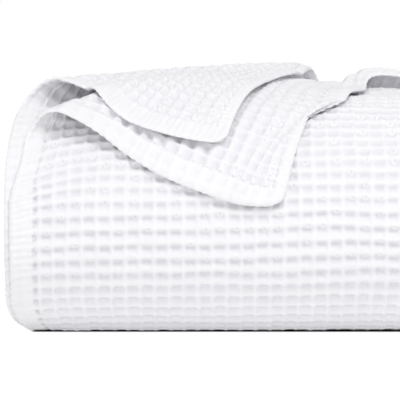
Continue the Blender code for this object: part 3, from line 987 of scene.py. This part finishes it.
print("second layer")
underSides = stepped(0.0, rightX - underLayer["hemAt"], fineAcross, True)
underRows = stepped(underEnd, overlap["secondFrom"], fineAlong, True)
second = Skin("turned_second_layer")
turnedGrid(
    second, underLayer, underRows, underSides, True,
    lambda x, v: (awayFrom(topLayer, x, v) > -overlap["secondCrease"]) | underRise(x, v),
)
secondFace = Skin("turned_second_corner")
turnedGrid(
    secondFace, underLayer, underRows, underSides, False,
    lambda x, v: (awayFrom(underLayer, x, v) > -overlap["crease"]) | (v > underEnd - overlap["secondEnd"]),
)

print("third layer")
third = Skin("third_layer")
quads = detail["middling"]
rows = stepped(underEnd, overlap["thirdFrom"], cellAlong / quads, True)[:, None]
x = placesAcross(quads)
keep = awayFrom(underLayer, x[None, :], rows) > -overlap["thirdCrease"]
keep = keep | (rows > underEnd - overlap["thirdEnd"])
cells = (rows - weave["pitAlong"]) / cellAlong
flatGrid(third, 2, ("front", 0), rows, cells, x, fromEnd=underEnd - rows, keep=keep)

# everything that runs on round the loops to the other end hem

def runAlong(depth, quads):
    # stretches with even places along them, and cells counted on from the first loop
    for kind, loop, start, end in wayAlong:
        stretch = (kind, loop)
        length = stretchLength(stretch, start, end, 0.0 if loop == 0 else depth)
        steps = max(int(round(length * quads / cellAlong)), 2)
        at = np.linspace(start, end, steps + 1)
        if stretch == ("front", 0):
            cells = (at - weave["pitAlong"]) / cellAlong
        else:
            cells = last - np.linspace(0.0, length, steps + 1) / cellAlong
        last = cells[-1]
        yield stretch, at[:, None], cells[:, None]


print("side folds and hems")
right = Skin("right_folds")
left = Skin("left_folds")
for skin, number, runOn in ((right, 0, "sideFold"), (right, 2, "middleFold"), (left, 3, "sideFold")):
    for stretch, at, cells in runAlong(sum(sideFolds[number][1:3]) / 2 * pitch, quads):
        if number > 0 or stretch != ("front", 0):
            sideFoldGrid(skin, number, stretch, at, cells, quads, overlap[runOn])

hems = Skin("left_hems")
stripSides = stepped(0.0, overlap["sideHem"], cellAcross / quads, True)
inFrom = stripSides[None, :]
for layer in (topLayer, underLayer):
    for back in (False, True):
        outward = (layer is topLayer) != back
        for stretch, at, cells in runAlong(layer["depth"] * pitch, quads):
            if stretch == ("front", 0):
                if layer is topLayer and outward:
                    continue
                highest = layer["creaseAt"] - (overlap["secondHem"] if outward else 0.0)
                rows = stepped(0.0, highest, cellAlong / quads)
                turnedGrid(hems, layer, rows, stripSides, back)
                continue
            x = layer["hemAt"] + inFrom
            a = (x - weave["pitAcross"]) / cellAcross
            height = clothHeight(a, cells, inFrom, openCloth, back)
            depth = layer["depth"] * pitch + (-height if outward else height)
            places = placeFolded(stretch, at, x + scallop(cells, inFrom), depth)
            hems.add(places, a, cells, inFrom, cells * cellAlong)

print("back folds and underside")
backs = Skin("back_folds")
for loop in range(3):
    layer, flat = (5, "high") if loop % 2 else (0, "low")
    x = placesAcross(quads, toHem=layer == 0)
    for stretch, at, cells in runAlong(layer * pitch, quads):
        if stretch == ("fold", loop):
            flatGrid(backs, layer, stretch, at, cells, x)
        elif stretch[0] == flat and stretch[1] in (loop, loop + 1):
            near = at[:, 0] > overlap["lowest" if stretch == ("low", 0) else "flat"]
            if near.sum() > 1:
                flatGrid(backs, layer, stretch, at[near], cells[near], x)

underside = Skin("underside")
coarse = detail["coarse"]
x = placesAcross(coarse, toHem=True)
for stretch, at, cells in runAlong(0.0, coarse):
    if stretch == ("low", 0):
        flatGrid(underside, 0, stretch, at, cells, x)

print("end hems")
endHems = Skin("end_hems")
fromEnd = stepped(0.0, overlap["endHem"], cellAlong / coarse, True)[::-1, None]
lastLength = stretchLength(("high", 3), 0.0, 1.0, 2.5 * pitch)
cells = -fromEnd / cellAlong
x = placesAcross(coarse)
for stretch, at in ((("front", 0), underEnd - fromEnd), (("high", 3), 1.0 - fromEnd / lastLength)):
    # in front, the first layers have their hems already
    onTop = stretch[0] == "front"
    for layer in range(bundle["layersAcross"]):
        for back in (False, True):
            if not onTop or layer > 2 or (layer == 2 and back):
                flatGrid(endHems, layer, stretch, at, cells, x, back, fromEnd)
    for number in range(1 if onTop else 0, 5):
        for back in (False, True):
            sideFoldGrid(endHems, number, stretch, at, cells, coarse, overlap["sideFold"], back, fromEnd)

print("inner layers")
inner = Skin("inner_layers")
innerSide = overlap["innerSide"]
x = np.linspace(leftX + innerSide, rightX - innerSide, detail["innerColumns"])[None, :]
for kind, loop, start, end in wayAlong:
    stretch = (kind, loop)
    for layer in range(bundle["layersAcross"]):
        # some are pieces of their own
        if layer == 0 and stretch in (("front", 0), ("low", 0)):
            continue
        if kind == "fold" and layer == (5 if loop % 2 else 0):
            continue
        first, last = start, end
        if stretch == ("front", 0):
            hidden = overlap["turnedFrom"] - overlap["crease"]
            first = underEnd - overlap["innerEnd"] if layer > 2 else hidden
        if stretch == ("high", 3):
            last = 1.0 - overlap["innerEnd"] / lastLength
        if (kind == "low" and layer == 0) or (kind == "high" and layer == 5 and loop < 3):
            first, last = min(first, overlap["flat"]), min(last, overlap["flat"])
        length = stretchLength(stretch, first, last, layer * pitch)
        steps = max(int(length / detail["innerStep"]), detail["innerLeastSteps"])
        at = np.linspace(first, last, steps + 1)[:, None]
        run = np.linspace(0.0, length, steps + 1)[:, None]
        places = placeFolded(stretch, at, x, layer * pitch + 0 * x)
        inner.add(places, x / cellAcross, run / cellAlong, x, run)

# short threads in the hems' grooves, on the sides that show
print("stitches")
stitch = {
    "every": 4.25,
    "length": 3.1,
    "radius": 0.32,
    "inHem": 15.3,
    "inEndHem": 9.3,
    "sunk": 0.25,
    "uneven": 0.25,
    "unevenTurn": 2.3,
    "thinnest": 0.02,  # of the ends, as a share squared
    "cellStep": 0.37,  # each stitch takes its fuzz from another place
    # places up the cloth that the side rows show between
    "topRow": (4.0, 168.0),
    "underRow": (140.0, 196.0),
    "endRowLead": 30.0,  # before the crease, along the end hem
    "sides": 6,
    "steps": 4,
}
stitches = Skin("hem_stitches")
theta = np.linspace(0.0, 2 * pi, stitch["sides"] + 1)[None, :]
u = np.linspace(0.0, 1.0, stitch["steps"] + 1)[:, None]


def sew(layer, back, start, end, endHem=None):
    # stitches up the left hem from start to end, or across along the end hem
    outward = (layer is topLayer) != back
    thick = stitch["radius"] * np.sqrt(np.maximum(1 - (2 * u - 1) ** 4, stitch["thinnest"]))
    across = thick * np.cos(theta)
    up = thick * np.sin(theta) + stitch["sunk"] * (1 - (2 * u - 1) ** 2)
    side = (hem["turnedSwell"] if back else hem["swell"]) - hem["groove"][0] + up
    for number, first in enumerate(np.arange(start, end, stitch["every"])):
        uneven = stitch["uneven"] * sin(number * stitch["unevenTurn"])
        run = first + uneven + stitch["length"] * u + 0 * across
        if endHem is None:
            x, v = layer["hemAt"] + stitch["inHem"] + across, run
        else:
            x, v = run, endHem - stitch["inEndHem"] + across
        points = turnedCorner(layer, x, v, side if outward else -side)
        around, along = theta * stitch["radius"], u * stitch["length"]
        stitches.add(points, number * stitch["cellStep"], u, around, along)


cornerEnd = topLayer["hemAt"] + topLayer["cornerLength"] / tan(radians(topLayer["creaseAngle"]))
sew(topLayer, False, *stitch["topRow"])
sew(topLayer, False, cornerEnd - stitch["endRowLead"], rightX, topEnd)
sew(underLayer, True, *stitch["underRow"])

print("meshes")
innerPiece = inner.make(cottonCloth)
stitchPiece = stitches.make(cottonCloth)
made = [(stitches, stitchPiece), (inner, innerPiece)]
shown = [front, turned, turnedBack, second, secondFace, third, right, left, hems, backs, underside, endHems]
made += [(skin, skin.make(cottonCloth)) for skin in shown]
for skin, piece in made:
    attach(piece, "root")
    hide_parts("blanket")
    area = skin.flatArea * 1e-6
    print(piece.name, len(piece.data.polygons) * 2, "triangles", round(area, 4), "square metres flat")
    if piece is stitchPiece:
        continue

print("floor, light and camera")
# metres and watts
studio = {
    "floorColour": (0.70, 0.70, 0.70, 1.0),
    "floorRoughness": 0.95,
    "floorReach": 12.0,
    "worldColour": (1.0, 1.0, 1.0, 1.0),
    "horizonLight": 0.27,
    "zenithLight": 0.5,  # added to the horizon's straight above
    "floorGlow": 0.42,
    "floorWhite": 0.5,  # glow that only the camera sees
    # painted contact shadow: no glow and a near-black floor colour under the bundle; millimetres in from
    # its ends and front, and the soft edge
    "contactInset": (16.0, 46.0),
    "contactEdge": 2.5,
    "contactShadowColour": (0.01, 0.01, 0.01, 1.0),
    "lampSize": 0.8,
    "lamps": [
        # name, place, aim, power
        ("key", (0.5, -0.95, 1.7), (0.0, 0.0, 0.08), 13.5),
        ("front", (-0.1, -1.9, 0.3), (0.0, 0.0, 0.08), 6.0),
        ("left", (-1.7, -0.9, 0.3), (-0.1, 0.0, 0.1), 2.5),
    ],
}

floorPaint, tree, shader = newMaterial("floor")
shader.inputs["Roughness"].default_value = studio["floorRoughness"]
shader.inputs["Emission Color"].default_value = studio["floorColour"]
paths = nodeIn(tree, "ShaderNodeLightPath")
seen = paths.outputs["Is Camera Ray"]
glow = calculate(tree, "MULTIPLY_ADD", seen, studio["floorWhite"], studio["floorGlow"])
place = nodeIn(tree, "ShaderNodeNewGeometry")
fromMiddle = vectorIn(tree, "ABSOLUTE", place.outputs["Position"])
parts = nodeIn(tree, "ShaderNodeSeparateXYZ", (fromMiddle.outputs[0],))
# 1 away from the bundle and 0 under it, where the contact shadow is painted
lit = 0.0
for axis, inset in enumerate(studio["contactInset"]):
    edge = studio["contactEdge"]
    starts = bundle["middle"][axis] - inset
    beyond = calculate(tree, "MULTIPLY_ADD", parts.outputs[axis], 1000 / edge, -starts / edge, clamp=True)
    lit = calculate(tree, "MAXIMUM", lit, beyond)
tree.links.new(calculate(tree, "MULTIPLY", glow, lit), shader.inputs["Emission Strength"])
# painted contact shadow: near-black floor colour under the bundle
floorWithShadow = blend(tree, lit, studio["contactShadowColour"], studio["floorColour"])
tree.links.new(floorWithShadow, shader.inputs["Base Color"])
floorMesh = bpy.data.meshes.new("floor")
reach = studio["floorReach"]
corners = [(-reach, -reach, 0.0), (reach, -reach, 0.0), (reach, reach, 0.0), (-reach, reach, 0.0)]
floorMesh.from_pydata(corners, [], [(0, 1, 2, 3)])
floorMesh.materials.append(floorPaint)
floor = objectWith("floor", floorMesh)
floor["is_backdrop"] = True

world = bpy.data.worlds.new("studio")
bpy.context.scene.world = world
world.use_nodes = True
tree = world.node_tree
sky = tree.nodes["Background"]
sky.inputs["Color"].default_value = studio["worldColour"]
# a white backdrop, with soft light that is strongest from above
paths = nodeIn(tree, "ShaderNodeLightPath")
heading = nodeIn(tree, "ShaderNodeTexCoord")
parts = nodeIn(tree, "ShaderNodeSeparateXYZ", (heading.outputs["Generated"],))
height = calculate(tree, "MAXIMUM", parts.outputs["Z"], 0.0)
fromSky = calculate(tree, "MULTIPLY_ADD", height, studio["zenithLight"], studio["horizonLight"])
tree.links.new(calculate(tree, "MAXIMUM", paths.outputs["Is Camera Ray"], fromSky), sky.inputs["Strength"])


def turnedTo(place, aim):
    return (Vector(aim) - Vector(place)).to_track_quat("-Z", "Y").to_euler()


for name, place, aim, power in studio["lamps"]:
    light = bpy.data.lights.new(name, "AREA")
    light.shape = "SQUARE"
    light.size = studio["lampSize"]
    light.energy = power
    lamp = objectWith(name, light)
    lamp.location = place
    lamp.rotation_euler = turnedTo(place, aim)

view = {
    "aim": (116.8, 0.0, 83.2),
    "distance": 1500.0,
    "elevation": 3.5,  # degrees
    "lens": 228.8,
    "clip": (0.05, 60.0),  # metres
}
aim = (np.array(view["aim"]) - np.array(bundle["middle"])) * 0.001
down = radians(view["elevation"])
eye = aim + np.array([0.0, -cos(down), sin(down)]) * view["distance"] * 0.001
lens = bpy.data.cameras.new("camera")
lens.lens = view["lens"]
lens.clip_start, lens.clip_end = view["clip"]
camera = objectWith("camera", lens)
camera.location = eye
camera.rotation_euler = turnedTo(eye, aim)
bpy.context.scene.camera = camera
bpy.context.scene.view_settings.view_transform = "Standard"

{"cad": [list(corner) for corner in cadCorners], "visual": [list(corner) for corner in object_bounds()]}
